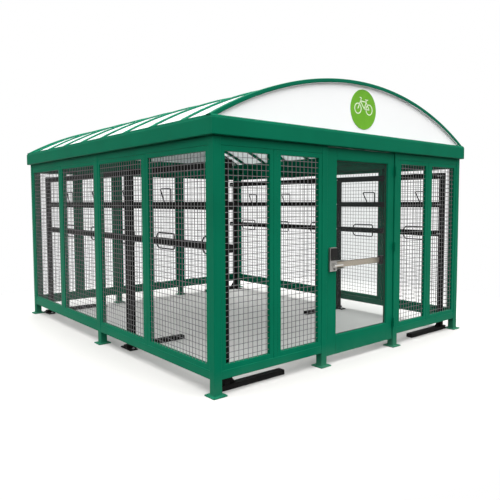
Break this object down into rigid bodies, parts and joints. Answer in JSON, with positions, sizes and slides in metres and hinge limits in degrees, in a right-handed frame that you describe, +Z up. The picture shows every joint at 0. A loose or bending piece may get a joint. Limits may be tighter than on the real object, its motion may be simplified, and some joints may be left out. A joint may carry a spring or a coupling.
{
  "type": "enclosed bike shelter",
  "caption": "Walk-in bike shelter: steel posts, mesh panel walls, hinged glazed door, barrel-vault sheet roof, round sign and wall-side bike racks.",
  "frame": {"origin": "centre of the footprint on the ground, at the underside of the base plates", "axes": "+X to the right as seen by someone facing the door from outside, +Y from the door towards the back wall, +Z up"},
  "size_m": [3.812, 4.6, 2.8098],
  "materials": {
    "green_steel": "green powder-coated steel, satin",
    "green_mesh": "green powder-coated panel frames round galvanised welded mesh",
    "roof_sheet": "white translucent multiwall sheet",
    "gable_panel": "flat white painted panel",
    "sign_green": "lime green sign face",
    "clear_glass": "clear safety glass",
    "satin_steel": "satin stainless steel",
    "reader_black": "black moulded plastic",
    "rack_black": "black powder-coated steel"
  },
  "bodies": {
    "shelter": {"front_left_corner_post": "green_steel", "door_latch_post": "green_steel", "door_hinge_post": "green_steel", "front_right_corner_post": "green_steel", "left_middle_post": "green_steel", "right_middle_post": "green_steel", "back_left_corner_post": "green_steel", "back_left_inner_post": "green_steel", "back_right_inner_post": "green_steel", "back_right_corner_post": "green_steel", "front_rails": "green_steel", "left_rails": "green_steel", "right_rails": "green_steel", "back_rails": "green_steel", "front_mullions": "green_steel", "left_mullions": "green_steel", "right_mullions": "green_steel", "back_mullions": "green_steel", "front_left_mesh": "green_mesh", "front_right_mesh": "green_mesh", "left_front_mesh": "green_mesh", "left_rear_mesh": "green_mesh", "right_front_mesh": "green_mesh", "right_rear_mesh": "green_mesh", "back_left_mesh": "green_mesh", "back_middle_mesh": "green_mesh", "back_right_mesh": "green_mesh", "front_fascia": "green_steel", "left_fascia": "green_steel", "right_fascia": "green_steel", "back_fascia": "green_steel", "front_arch": "green_steel", "back_arch": "green_steel", "roof_ribs": "green_steel", "roof_sheet": "roof_sheet", "cap_strips": "green_steel", "front_gable": "gable_panel", "back_gable": "gable_panel", "round_sign": "sign_green", "jamb_hinges": "green_steel", "left_rack_stands": "rack_black", "left_rack_rails": "rack_black", "left_wheel_holders": "rack_black", "right_rack_stands": "rack_black", "right_rack_rails": "rack_black", "right_wheel_holders": "rack_black"},
    "door": {"door_leaf": "green_steel", "door_glass": "clear_glass", "leaf_hinges": "green_steel", "lock_plate": "satin_steel", "key_reader": "reader_black", "push_bar_cases": "satin_steel"},
    "lever": {"lever_handle": "satin_steel"},
    "push_bar": {"push_bar": "satin_steel"}
  },
  "joints": [
    {"name": "door_swing", "type": "hinge", "parent": "shelter", "child": "door", "pos_m": [0.5315, -2.276, 1.118], "axis": [0, 0, 1], "range_deg": [0, 105]},
    {"name": "lever_turn", "type": "hinge", "parent": "door", "child": "lever", "pos_m": [-0.455, -2.264, 0.984], "axis": [0, 1, 0], "range_deg": [0, 40], "stiffness_Nm_per_rad": 1, "springref_deg": -22.92},
    {"name": "push_bar_press", "type": "slide", "parent": "door", "child": "push_bar", "axis": [0, -1, 0], "range_m": [0, 0.012], "stiffness_N_per_m": 800, "springref_m": -0.01}
  ]
}
